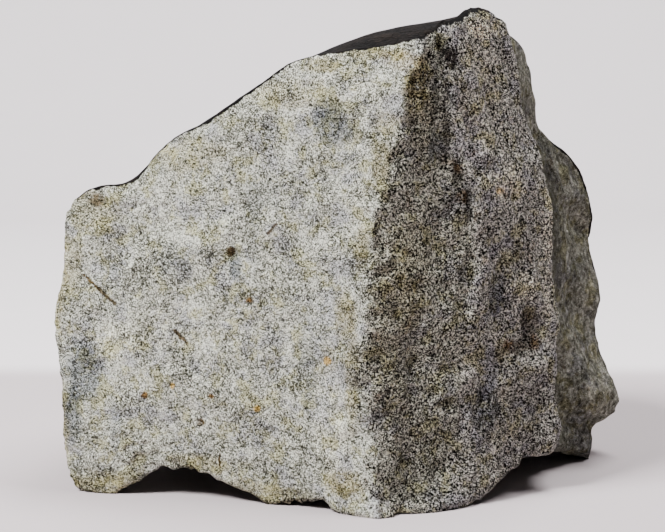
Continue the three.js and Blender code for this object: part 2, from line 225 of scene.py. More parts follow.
@dataclass
class StoneBody:
    """The whole stone as one fine mesh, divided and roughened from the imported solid."""

    name: str = "stone_surface"
    joined_below_mm: float = 0.02
    broken_cuts: int = 4
    skin_cuts: int = 1
    underside_below: float = -0.35
    top_above: float = 0.62
    left_end_below: float = -0.62
    front_below: float = -0.16
    light_below: float = -0.02
    far_face_above: float = 0.25
    far_face_depth_mm: float = 6.0
    far_from_mm: tuple[float, float] = (24.0, -23.0)
    far_fade_mm: tuple[float, float] = (6.0, 3.0)
    vote_passes: int = 6
    votes_needed: int = 2
    rim_step_mm: float = 0.4
    rim_angle_deg: float = 55.0
    base_angle_deg: float = 40.0
    base_height_mm: float = 9.0
    base_foot_mm: float = 0.3
    base_passes: int = 2
    base_factor: float = 0.35
    foot_mm: float = 0.05
    easing_passes: int = 5
    easing_factor: float = 0.5
    rim_easing_passes: int = 2
    rim_easing_factor: float = 0.25
    rim_passes: int = 10
    dark_passes: int = 24
    evening_factor: float = 0.5
    crease_wander_mm: float = 1.5
    crease_spacing_mm: float = 7.0
    crease_width_mm: float = 1.6
    rim_calm: float = 0.5
    rim_calm_mm: float = 2.5
    ridge_reach_mm: float = 4.0
    ridge_ends: float = 2.5
    foot_clear_mm: float = 1.2
    light_relief: tuple[Relief, ...] = (
        Relief(6.0, 0.40),
        Relief(2.2, 0.24, ridged=True),
        Relief(1.2, 0.20),
    )
    dark_relief: tuple[Relief, ...] = (
        Relief(7.5, 1.20, stretch=(1.0, 1.0, 0.6)),
        Relief(3.0, 0.65, ridged=True),
        Relief(1.2, 0.34),
    )
    streak_relief: tuple[Relief, ...] = (
        Relief(8.0, 1.10, stretch=(1.0, 1.0, 0.4)),
        Relief(3.4, 0.80, stretch=(1.0, 1.0, 0.35), ridged=True),
        Relief(1.3, 0.36, stretch=(1.0, 1.0, 0.5)),
    )
    far_relief: tuple[Relief, ...] = (Relief(6.5, 0.75), Relief(2.8, 0.30, ridged=True))
    skin_relief: tuple[Relief, ...] = (Relief(9.0, 0.25), Relief(3.0, 0.07))
    ridge_relief: Relief = Relief(3.6, 0.7)
    ledge_mm: float = 1.5
    ledge_width_mm: float = 0.7
    ledge_reach_mm: float = 9.0
    ledge_low_share: float = 0.25
    ledge_grows_mm: tuple[float, float] = (40.0, 65.0)
    band_sink: float = 0.4
    band_reach_mm: float = 4.0
    tint_raggedness: tuple[tuple[float, float], ...] = ((1.7, 1.1), (5.0, 1.6))
    tint_margin_mm: float = 3.0
    dents: tuple[Dent, ...] = (
        Dent((38.7, -25.7, 38.5), 3.6, 1.9),
        Dent((36.5, -27.2, 32.8), 2.8, 1.5),
        Dent((34.2, -29.1, 31.7), 2.0, 0.6),
        Dent((20.3, -35.4, 93.9), 2.2, 0.9),
        Dent((-31.6, -32.2, 16.9), 1.3, 0.6),
        Dent((-17.7, -35.5, 6.6), 1.1, 0.7),
        Dent((-24.6, -34.3, 53.2), 2.0, 0.5),
        Dent((56.2, 3.2, 8.8), 3.0, 1.2),
        Dent((-56.7, -24.1, 47.3), 1.0, 0.3),
        Dent((-53.4, -25.9, 44.6), 1.2, 0.4),
        Dent((-50.1, -26.9, 41.7), 1.2, 0.4),
    )
    stains_and_painted_light: tuple[StainAndPaintedLight, ...] = (
        StainAndPaintedLight((-57.6, -25.2, 26.6), (5.5, 6.0, 8.5), BLUE_GREY, 0.8),
        StainAndPaintedLight((-59.5, -24.0, 17.0), (2.5, 5.0, 7.0), BLUE_GREY, 0.8),
        StainAndPaintedLight((-50.0, -26.9, 14.0), (1.8, 4.0, 7.0), BLUE_GREY, 0.55),
        StainAndPaintedLight((-3.9, -39.9, 80.1), (4.4, 5.0, 4.6), BLUE_GREY, 0.75),
        StainAndPaintedLight((-4.1, -39.8, 83.8), (4.0, 5.0, 2.4), BLUE_GREY, 0.6),
        StainAndPaintedLight((-24.0, -34.6, 51.5), (1.8, 4.0, 4.0), BLUE_GREY, 0.9),
        StainAndPaintedLight((-37.9, -30.5, 51.7), (5.5, 5.0, 3.0), BLUE_GREY, 0.35),
        StainAndPaintedLight((-40.8, -29.8, 71.0), (3.4, 5.0, 2.2), BLUE_GREY, 0.5),
        StainAndPaintedLight((-18.0, -36.0, 66.0), (6.0, 6.0, 4.0), BLUE_GREY, 0.25),
        StainAndPaintedLight((-9.0, -40.0, 32.0), (3.0, 6.0, 12.0), BLUE_GREY, 0.3),
        StainAndPaintedLight((11.0, -41.2, 94.0), (5.5, 7.0, 2.6), OCHRE, 0.2),
        StainAndPaintedLight((13.6, -41.4, 89.0), (3.2, 6.0, 7.0), OLIVE, 0.85),
        StainAndPaintedLight((5.0, -41.1, 95.0), (9.0, 7.0, 1.6), OLIVE, 0.7),
        StainAndPaintedLight((7.6, -42.4, 81.5), (3.4, 6.0, 3.2), OLIVE, 0.6),
        StainAndPaintedLight((6.2, -42.8, 72.8), (2.4, 6.0, 5.5), OLIVE, 0.7),
        StainAndPaintedLight((-5.8, -37.6, 92.6), (4.2, 6.0, 2.2), OLIVE, 0.7),
        StainAndPaintedLight((2.4, -43.3, 56.0), (1.8, 6.0, 6.0), OLIVE, 0.6),
        StainAndPaintedLight((-1.4, -43.0, 42.0), (2.6, 6.0, 6.0), OLIVE, 0.65),
        StainAndPaintedLight((-4.8, -42.0, 32.2), (3.0, 6.0, 4.0), OLIVE, 0.4),
        StainAndPaintedLight((-1.2, -43.4, 6.8), (5.0, 6.0, 3.6), OLIVE, 0.85),
        StainAndPaintedLight((-50.4, -26.5, 33.5), (6.0, 6.0, 4.0), PALE, 0.35),
        StainAndPaintedLight((-42.5, -29.2, 36.5), (7.0, 6.0, 5.0), PALE, 0.2),
        StainAndPaintedLight((-4.2, -42.6, 17.8), (5.0, 7.0, 12.0), PALE, 0.25),
        StainAndPaintedLight((2.0, -42.6, 86.0), (6.0, 7.0, 5.0), PALE, 0.15),
        StainAndPaintedLight((1.6, -43.2, 63.0), (3.0, 7.0, 8.0), PALE, 0.12),
        StainAndPaintedLight((-20.0, -36.5, 88.0), (8.0, 7.0, 3.0), PALE, 0.2),
        StainAndPaintedLight((-60.0, -24.0, 50.0), (3.0, 6.0, 8.0), OLIVE, 0.5),
        StainAndPaintedLight((-54.2, -23.3, 63.6), (2.2, 4.0, 1.6), DARK_RUST, 0.85),
        StainAndPaintedLight((-57.5, -22.5, 66.0), (3.0, 5.0, 2.5), OLIVE, 0.7),
        # Painted shade in the pit at the top of the crease.
        StainAndPaintedLight((20.3, -35.9, 93.9), (2.3, 5.5, 3.0), PAINTED_SHADE, 1.0),
        StainAndPaintedLight((19.0, -36.5, 96.2), (1.6, 5.0, 1.4), PAINTED_SHADE, 0.9),
        StainAndPaintedLight((17.2, -37.8, 76.1), (2.4, 4.0, 4.0), BLUE_GREY, 0.8),
        StainAndPaintedLight((22.3, -36.3, 71.8), (1.2, 3.0, 1.8), RUST, 0.9),
        StainAndPaintedLight((23.3, -35.8, 65.6), (1.3, 3.0, 1.4), RUST, 0.9),
        StainAndPaintedLight((30.8, -31.7, 66.6), (1.6, 3.0, 1.2), OCHRE, 0.8),
        StainAndPaintedLight((38.7, -25.7, 37.5), (3.2, 5.0, 4.2), DARK_RUST, 0.5),
        StainAndPaintedLight((35.5, -28.0, 32.2), (4.8, 5.0, 1.8), DARK_RUST, 0.6),
        StainAndPaintedLight((33.6, -29.5, 33.5), (1.6, 5.0, 1.4), RUST, 0.9),
        StainAndPaintedLight((39.8, -26.0, 33.0), (1.6, 5.0, 2.2), RUST, 0.8),
        StainAndPaintedLight((32.6, -30.2, 67.5), (5.2, 6.0, 4.6), PALE, 0.75),
        StainAndPaintedLight((37.3, -28.4, 45.4), (3.6, 6.0, 3.4), PALE, 0.75),
        StainAndPaintedLight((32.2, -30.5, 12.8), (5.0, 6.0, 7.0), PALE, 0.55),
        StainAndPaintedLight((32.5, -30.2, 23.7), (2.6, 6.0, 3.4), PALE, 0.5),
        StainAndPaintedLight((27.1, -29.0, 100.4), (7.5, 7.0, 2.6), PALE, 0.9),
        # Pale strip along the right edge: partly lighter grains, partly painted highlight where the edge
        # catches the light.
        StainAndPaintedLight((42.5, -23.6, 52.0), (1.6, 5.0, 22.0), PALE, 0.5),
        StainAndPaintedLight((30.9, -31.4, 44.3), (2.2, 5.0, 7.5), BLUE_GREY, 0.8),
        StainAndPaintedLight((29.2, -31.9, 20.8), (3.0, 5.0, 7.0), BLUE_GREY, 0.7),
        StainAndPaintedLight((12.0, -39.5, 50.0), (5.0, 6.0, 16.0), OLIVE, 0.35),
        # Painted shade at the foot of the near corner, where it meets the floor.
        StainAndPaintedLight((12.0, -40.5, 8.0), (10.0, 6.0, 6.0), PAINTED_SHADE, 0.3),
        StainAndPaintedLight((53.6, 7.7, 53.4), (5.0, 7.0, 4.5), PALE, 0.25),
        StainAndPaintedLight((58.0, -0.5, 15.0), (6.0, 7.0, 6.0), PALE, 0.35),
        StainAndPaintedLight((51.8, 1.4, 45.0), (6.0, 7.0, 4.0), BLUE_GREY, 0.4),
        # Painted shade in the recess behind the right edge.
        StainAndPaintedLight((45.0, -8.0, 50.0), (3.0, 12.0, 34.0), PAINTED_SHADE, 0.5),
        # Painted shadow along the band's side of the ledge at the crease.
        StainAndPaintedLight((17.2, -38.0, 87.0), (0.9, 4.0, 8.0), PAINTED_SHADE, 0.45),
        StainAndPaintedLight((19.6, -37.3, 78.5), (0.9, 4.0, 5.0), PAINTED_SHADE, 0.45),
        StainAndPaintedLight((22.0, -36.5, 71.5), (0.9, 4.0, 5.0), PAINTED_SHADE, 0.55),
        StainAndPaintedLight((24.6, -36.0, 64.0), (0.9, 4.0, 5.0), PAINTED_SHADE, 0.5),
        StainAndPaintedLight((9.0, -41.0, 40.0), (6.0, 8.0, 22.0), OLIVE, 0.35),
        StainAndPaintedLight((14.0, -39.0, 84.0), (4.0, 8.0, 12.0), OLIVE, 0.3),
        StainAndPaintedLight((27.0, -33.0, 86.0), (8.0, 9.0, 17.0), PALE, 0.3),
        # Painted shade low on the right face, near the floor.
        StainAndPaintedLight((34.0, -29.0, 16.0), (13.0, 9.0, 15.0), PAINTED_SHADE, 0.3),
        StainAndPaintedLight((0.5, -43.5, 30.0), (1.6, 6.0, 16.0), OLIVE, 0.6),
        StainAndPaintedLight((-63.0, -22.0, 50.0), (2.6, 8.0, 18.0), OLIVE, 0.8),
        StainAndPaintedLight((-63.0, -22.0, 12.0), (3.4, 8.0, 14.0), OLIVE, 0.8),
        StainAndPaintedLight((-52.0, -26.0, 2.0), (11.0, 8.0, 3.4), OLIVE, 0.7),
        StainAndPaintedLight((-20.0, -36.0, 2.5), (16.0, 9.0, 3.4), OLIVE, 0.6),
        StainAndPaintedLight((-32.0, -32.0, 8.0), (8.0, 6.0, 2.4), OLIVE, 0.6),
        StainAndPaintedLight((-37.0, -31.0, 74.0), (13.0, 9.0, 4.5), OLIVE, 0.45),
        StainAndPaintedLight((-13.0, -37.0, 87.0), (10.0, 9.0, 3.6), OLIVE, 0.45),
        StainAndPaintedLight((-54.0, -24.0, 61.0), (8.0, 8.0, 4.5), OLIVE, 0.5),
        StainAndPaintedLight((-20.0, -36.0, 60.0), (2.4, 6.0, 14.0), BLUE_GREY, 0.3),
        StainAndPaintedLight((-46.0, -28.0, 10.0), (5.0, 6.0, 5.0), PALE, 0.15),
    )
    rim_points: list[Vector] = field(default_factory=list)

    def build(self) -> bpy.types.Object:
        """Makes the stone's fine mesh.

        Returns:
            The finished object, with its kinds of surface, its tinted patches (staining, painted shade and
            painted highlight) and rim distance as attributes.
        """
        shape = bmesh.new()
        shape.from_mesh(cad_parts[CAD_NODE].data)
        bmesh.ops.remove_doubles(shape, verts=shape.verts, dist=self.joined_below_mm * MM)
        region = shape.faces.layers.int.new("region")
        self._mark_regions(shape, region)
        self._trace_rim(shape, region)
        self._round_base(shape)
        self._divide(shape, region)
        self._ease(shape)
        points = self._points(shape, region)
        self._roughen(shape, points)
        return self._to_object(shape, self._evened(shape, points))

    def _region_of(self, face: bmesh.types.BMFace) -> Region:
        """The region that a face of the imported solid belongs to, from its place and the way it looks.

        Args:
            face: The face to sort.

        Returns:
            The face's region.
        """
        looks, place = face.normal, face.calc_center_median() / MM
        if looks.z < self.underside_below:
            return Region.DARK_BREAK
        if looks.z > self.top_above:
            return Region.SKIN
        front = looks.y < self.front_below
        if looks.x < self.left_end_below or (front and looks.x < self.light_below):
            return Region.LIGHT_BREAK
        far_face = looks.x > self.far_face_above and place.y < self.far_face_depth_mm
        return Region.DARK_BREAK if front or far_face else Region.SKIN

    def _mark_regions(self, shape: bmesh.types.BMesh, region: bmesh.types.BMLayerItem) -> None:
        """Sorts the solid's faces into regions, then turns stray ones over to their neighbours."""
        for face in shape.faces:
            face[region] = self._region_of(face).value
        for _ in range(self.vote_passes):
            votes = {}
            for face in shape.faces:
                others = (other for edge in face.edges for other in edge.link_faces)
                around = [other[region] for other in others if other is not face]
                for value in set(around):
                    if around.count(value) >= self.votes_needed and value != face[region]:
                        votes[face] = value
            for face, value in votes.items():
                face[region] = value

    def _trace_rim(self, shape: bmesh.types.BMesh, region: bmesh.types.BMLayerItem) -> None:
        """Notes points along the line where the skin meets the broken faces."""
        for edge in shape.edges:
            sides = {face[region] == Region.SKIN.value for face in edge.link_faces}
            if len(sides) == 2:
                start, end = (v.co.copy() for v in edge.verts)
                steps = max(2, int((end - start).length / (self.rim_step_mm * MM)))
                self.rim_points += [start.lerp(end, i / steps) for i in range(steps)]

    def _round_base(self, shape: bmesh.types.BMesh) -> None:
        """Rounds off the worn edge round the base, except at the feet."""
        sharp_angle = math.radians(self.base_angle_deg)
        low = [e for e in shape.edges if max(v.co.z for v in e.verts) < self.base_height_mm * MM]
        sharp = {v for e in low if e.calc_face_angle(0.0) > sharp_angle for v in e.verts}
        worn = [v for v in sharp if v.co.z > self.base_foot_mm * MM]
        for _ in range(self.base_passes):
            bmesh.ops.smooth_vert(shape, verts=worn, factor=self.base_factor, **ALL_AXES)

    def _divide(self, shape: bmesh.types.BMesh, region: bmesh.types.BMLayerItem) -> None:
        """Divides the stone, its broken faces most finely, with the edges in the same order each run."""
        skin = [e for e in shape.edges if all(f[region] == Region.SKIN.value for f in e.link_faces)]
        bmesh.ops.subdivide_edges(shape, edges=skin, cuts=self.skin_cuts, use_grid_fill=True)
        broken = [e for e in shape.edges if any(f[region] != Region.SKIN.value for f in e.link_faces)]
        bmesh.ops.subdivide_edges(shape, edges=broken, cuts=self.broken_cuts, use_grid_fill=True)
        bmesh.ops.triangulate(shape, faces=shape.faces)

    def _ease(self, shape: bmesh.types.BMesh) -> None:
        """Rounds off the solid's facets, gently along its sharp rims."""
        shape.normal_update()
        sharp_angle = math.radians(self.rim_angle_deg)
        sharp = {v for e in shape.edges if e.calc_face_angle(0.0) > sharp_angle for v in e.verts}
        plain = [v for v in shape.verts if v not in sharp and v.co.z > self.foot_mm * MM]
        rims = [v for v in sharp if v.co.z > self.foot_mm * MM]
        for step in range(self.easing_passes):
            bmesh.ops.smooth_vert(shape, verts=plain, factor=self.easing_factor, **ALL_AXES)
            if step < self.rim_easing_passes:
                bmesh.ops.smooth_vert(shape, verts=rims, factor=self.rim_easing_factor, **ALL_AXES)

    def _points(self, shape: bmesh.types.BMesh, region: bmesh.types.BMLayerItem) -> list[PointKind]:
        """Works out what kind of surface each point lies on.

        Args:
            shape: The divided stone.
            region: The layer that holds each face's region.

        Returns:
            One entry for each point.
        """
        rim = kdtree.KDTree(len(self.rim_points))
        for i, point in enumerate(self.rim_points):
            rim.insert(point, i)
        rim.balance()
        points = []
        for vert in shape.verts:
            kinds = [face[region] for face in vert.link_faces]
            skin = kinds.count(Region.SKIN.value) / len(kinds)
            broken = len(kinds) - kinds.count(Region.SKIN.value)
            dark = kinds.count(Region.DARK_BREAK.value) / broken if broken else 0.0
            far = dark * self._far_share(vert.co)
            wander = self.crease_wander_mm * noise.noise(vert.co / (self.crease_spacing_mm * MM))
            past_crease = (vert.co.x - CREASE.right_at(vert.co.z)) / MM + wander
            streaks = dark * (1 - far) * smooth(past_crease / self.crease_width_mm + 0.5)
            rim_mm = rim.find(vert.co)[2] / MM * (1 - 2 * skin)
            points.append(PointKind(rim_mm, skin, dark, far, streaks, past_crease))
        return points

    def _far_share(self, place: Vector) -> float:
        """0 in front of the right edge and 1 on the far lobe behind it."""
        return math.prod(
            smooth((part / MM - start) / fade)
            for part, start, fade in zip(place, self.far_from_mm, self.far_fade_mm)
        )

    def _roughen(self, shape: bmesh.types.BMesh, points: list[PointKind]) -> None:
        """Raises the grain and sinks the dents, leaving the level feet where they are."""
        shape.normal_update()
        moves = []
        for vert, kind in zip(shape.verts, points):
            layers = (
                (self.skin_relief, kind.skin, vert.co),
                (self.light_relief, (1 - kind.skin) * (1 - kind.dark), vert.co),
                (self.far_relief, (1 - kind.skin) * kind.far, vert.co),
                (self.streak_relief, (1 - kind.skin) * kind.streaks, self._along_streaks(vert.co)),
                (self.dark_relief, (1 - kind.skin) * (kind.dark - kind.far - kind.streaks), vert.co),
            )
            lift = sum(w * relief.at(place) for layer, w, place in layers if w > 0.001 for relief in layer)
            lift *= min(1.0, self.rim_calm + abs(kind.rim_mm) / self.rim_calm_mm)
            lift += self._ledge(vert.co, kind)
            past_ridge = (vert.co.x - NEAR_RIDGE.right_at(vert.co.z)) / MM / self.ridge_reach_mm
            if kind.skin < 0.5 and abs(past_ridge) < self.ridge_ends:
                lift += self.ridge_relief.at(vert.co) * math.exp(-(past_ridge**2))
            sink = sum(dent.at(vert.co) for dent in self.dents)
            clear = min(1.0, vert.co.z / (self.foot_clear_mm * MM))
            moves.append(vert.normal * (lift - sink) * clear)
        for vert, move in zip(shape.verts, moves):
            vert.co += move
            vert.co.z = max(vert.co.z, 0.0)

    def _evened(self, shape: bmesh.types.BMesh, points: list[PointKind]) -> list[PointKind]:
        """Evens out the steps that the solid's facets leave in the rim and in the edge of the dark break.

        Args:
            shape: The finished stone.
            points: The kind of surface at each point.

        Returns:
            The points with their rim distance and their darkness averaged over their neighbours.
        """
        shape.verts.index_update()
        pairs = np.array([[v.index for v in edge.verts] for edge in shape.edges])
        starts, ends = pairs.T
        size = len(points)
        count = np.bincount(pairs.ravel(), minlength=size)
        rims = np.array([kind.rim_mm for kind in points])
        darks = np.array([kind.dark for kind in points])
        for values, passes in ((rims, self.rim_passes), (darks, self.dark_passes)):
            for _ in range(passes):
                around = np.bincount(starts, values[ends], size) + np.bincount(ends, values[starts], size)
                values += self.evening_factor * (around / count - values)
        return [replace(kind, rim_mm=rim, dark=dark) for kind, rim, dark in zip(points, rims, darks)]

    def _ledge(self, place: Vector, kind: PointKind) -> float:
        """How far the right face stands proud of the band beside it, in metres, most in the upper half."""
        if kind.dark < 0.5 or kind.far > 0.5:
            return 0.0
        past = kind.past_crease_mm
        low, high = self.ledge_grows_mm
        grown = smooth((place.z / MM - low) / (high - low))
        fade = self.ledge_low_share + (1 - self.ledge_low_share) * grown
        step = smooth(past / self.ledge_width_mm + 0.5)
        raised = step * math.exp(-((past / self.ledge_reach_mm) ** 2))
        sunk = (1 - step) * math.exp(-((past / self.band_reach_mm) ** 2))
        return self.ledge_mm * MM * fade * (raised - self.band_sink * sunk)

    @staticmethod
    def _along_streaks(place: Vector) -> Vector:
        """A place measured from the right edge, so that a pattern on it runs along that edge."""
        return Vector((place.x - RIGHT_EDGE.right_at(place.z), place.y, place.z))

    def _tint_at(self, place: Vector) -> Vector:
        """The joint tint at a place of the tinted patches: staining, painted shade and painted highlight."""
        spot = place / MM
        shifts = (noise.noise_vector(spot / size) * reach for size, reach in self.tint_raggedness)
        ragged = sum(shifts, Vector())
        tint = Vector((1.0, 1.0, 1.0))
        for stain_and_painted_light in self.stains_and_painted_light:
            sides = zip(spot, stain_and_painted_light.place_mm, stain_and_painted_light.reach_mm)
            if all(abs(c - middle) < reach + self.tint_margin_mm for c, middle, reach in sides):
                shown = stain_and_painted_light.at(place, ragged)
                tint = Vector(t * (1 + (s - 1) * shown) for t, s in zip(tint, stain_and_painted_light.tint))
        return tint

    def _to_object(self, shape: bmesh.types.BMesh, points: list[PointKind]) -> bpy.types.Object:
        """Writes the shape and its attributes to a smooth-shaded object."""
        mesh = bpy.data.meshes.new(self.name)
        shape.to_mesh(mesh)
        shape.free()
        mesh.attributes.remove(mesh.attributes["region"])
        values = {
            "rim": [kind.rim_mm for kind in points],
            "dark": [kind.dark for kind in points],
            "far": [kind.far for kind in points],
            "streaks": [kind.streaks for kind in points],
        }
        for key, numbers in values.items():
            mesh.attributes.new(key, "FLOAT", "POINT").data.foreach_set("value", numbers)
        places = [vert.co.copy() for vert in mesh.vertices]
        tints = [part for place in places for part in self._tint_at(place)]
        mesh.attributes.new("stain_and_painted_light", "FLOAT_VECTOR", "POINT").data.foreach_set("vector", tints)
        along = [part for place in places for part in self._along_streaks(place)]
        mesh.attributes.new("along", "FLOAT_VECTOR", "POINT").data.foreach_set("vector", along)
        mesh.shade_smooth()
        stone = bpy.data.objects.new(self.name, mesh)
        bpy.context.scene.collection.objects.link(stone)
        return stone


@dataclass(frozen=True)
class Spot:
    """A small tinted grain or vein between two ends. A round grain has both ends in one place."""

    start_mm: tuple[float, float, float]
    end_mm: tuple[float, float, float]
    radius_mm: float
    tint: tuple[float, float, float]
    fade: ClassVar[tuple[float, float]] = (1.1, 0.5)


def grain(x: float, y: float, z: float, radius_mm: float, tint: tuple[float, float, float]) -> Spot:
    """A round grain at a place in millimetres."""
    return Spot((x, y, z), (x + 0.05, y, z), radius_mm, tint)


@dataclass(frozen=True)
class Pattern:
    """Soft noise: how far apart its blotches are, how many finer layers it has and how strong they are."""

    spacing_mm: float
    detail: float = 2.0
    roughness: float = 0.5


@dataclass(frozen=True)
class Shake:
    """How places are moved about, so that what is drawn on them gets ragged outlines."""

    spacing_mm: float
    reach_mm: float


class Graph:
    """A short way to write a material's nodes."""

    def __init__(self, name: str) -> None:
        """Starts a material with only its output node."""
        self.material = bpy.data.materials.new(name)
        self.material.use_nodes = True
        self.tree = self.material.node_tree
        self.tree.nodes.clear()
        self.output = self.tree.nodes.new("ShaderNodeOutputMaterial")

    def node(self, kind: str, inputs: dict | None = None, **settings) -> bpy.types.Node:
        """Adds a node.

        Args:
            kind: The node's type.
            inputs: What goes into its sockets, by name or number: a socket to link, or a plain value.
            settings: The node's own settings.

        Returns:
            The new node.
        """
        made = self.tree.nodes.new(kind)
        for key, value in settings.items():
            setattr(made, key, value)
        for key, value in (inputs or {}).items():
            if isinstance(value, bpy.types.NodeSocket):
                self.tree.links.new(value, made.inputs[key])
            else:
                made.inputs[key].default_value = value
        return made

    def math(self, operation: str, *values, clamp: bool = False) -> bpy.types.NodeSocket:
        """One step of arithmetic on numbers or sockets."""
        inputs = dict(enumerate(values))
        return self.node("ShaderNodeMath", inputs, operation=operation, use_clamp=clamp).outputs[0]

    def ramp(self, value, low: float, high: float) -> bpy.types.NodeSocket:
        """0 below low, 1 above high, and smooth between them. With low above high it runs the other way."""
        inputs = {"Value": value, "From Min": low, "From Max": high}
        return self.node("ShaderNodeMapRange", inputs, interpolation_type="SMOOTHSTEP").outputs["Result"]

    def mix(self, factor, first, second, blend: str = "MIX") -> bpy.types.NodeSocket:
        """Mixes two colours."""
        inputs = {0: factor, 6: first, 7: second}
        made = self.node("ShaderNodeMix", inputs, data_type="RGBA", blend_type=blend, clamp_factor=True)
        return made.outputs[2]

    def noise(self, place, pattern: Pattern) -> bpy.types.NodeSocket:
        """One pattern of soft noise."""
        scale = 1 / (pattern.spacing_mm * MM)
        inputs = {"Vector": place, "Scale": scale, "Detail": pattern.detail, "Roughness": pattern.roughness}
        return self.node("ShaderNodeTexNoise", inputs).outputs["Fac"]

    def cells(self, place, spacing_mm: float, feature: str = "F1") -> bpy.types.Node:
        """Cells about spacing_mm across, each with its own colour."""
        inputs = {"Vector": place, "Scale": 1 / (spacing_mm * MM)}
        return self.node("ShaderNodeTexVoronoi", inputs, feature=feature)

    def attribute(self, key: str, output: str = "Fac") -> bpy.types.NodeSocket:
        """One of the stone's own attributes."""
        return self.node("ShaderNodeAttribute", attribute_name=key).outputs[output]

    def tones(self, value, stops: tuple[tuple[float, tuple[float, ...]], ...]) -> bpy.types.NodeSocket:
        """Turns a number into a colour, through stops of position and colour."""
        ramp = self.node("ShaderNodeValToRGB", {"Fac": value})
        elements = ramp.color_ramp.elements
        elements[0].position, elements[-1].position = stops[0][0], stops[-1][0]
        elements[0].color, elements[-1].color = stops[0][1], stops[-1][1]
        for position, colour in stops[1:-1]:
            elements.new(position).color = colour
        return ramp.outputs["Color"]

    def blend(self, factor, first, second) -> bpy.types.NodeSocket:
        """Mixes two numbers."""
        return self.node("ShaderNodeMix", {0: factor, 2: first, 3: second}).outputs[0]

    def vector_math(self, operation: str, inputs: dict, output: str | int = 0) -> bpy.types.NodeSocket:
        """One step of arithmetic on places."""
        return self.node("ShaderNodeVectorMath", inputs, operation=operation).outputs[output]

    def shaken(self, place, shake: Shake) -> bpy.types.NodeSocket:
        """Places moved about by noise."""
        inputs = {"Vector": place, "Scale": 1 / (shake.spacing_mm * MM), "Detail": 2.0}
        wander = self.node("ShaderNodeTexNoise", inputs).outputs["Color"]
        centred = self.vector_math("SUBTRACT", {0: wander, 1: (0.5,) * 3})
        return self.vector_math("MULTIPLY_ADD", {0: centred, 1: (shake.reach_mm * MM,) * 3, 2: place})

    def finish(self, colour, roughness, others: dict | None = None) -> bpy.types.Material:
        """Puts the colour and roughness on the surface.

        Args:
            colour: The surface's colour.
            roughness: The surface's roughness.
            others: The shader's other inputs by name.

        Returns:
            The finished material.
        """
        inputs = {"Base Color": colour, "Roughness": roughness, **(others or {})}
        shader = self.node("ShaderNodeBsdfPrincipled", inputs)
        self.tree.links.new(shader.outputs[0], self.output.inputs["Surface"])
        return self.material

    def near(self, place, spot: Spot) -> bpy.types.NodeSocket:
        """1 on a spot and 0 away from it."""
        start, run = mm(*spot.start_mm), mm(*spot.end_mm) - mm(*spot.start_mm)
        offset = self.vector_math("SUBTRACT", {0: place, 1: tuple(start)})
        part = self.vector_math("DOT_PRODUCT", {0: offset, 1: tuple(run / run.length_squared)}, "Value")
        share = self.math("MULTIPLY", part, 1.0, clamp=True)
        on_line = self.vector_math("SCALE", {0: tuple(run), "Scale": share})
        distance = self.vector_math("DISTANCE", {0: offset, 1: on_line}, "Value")
        return self.ramp(distance, *(share * spot.radius_mm * MM for share in spot.fade))


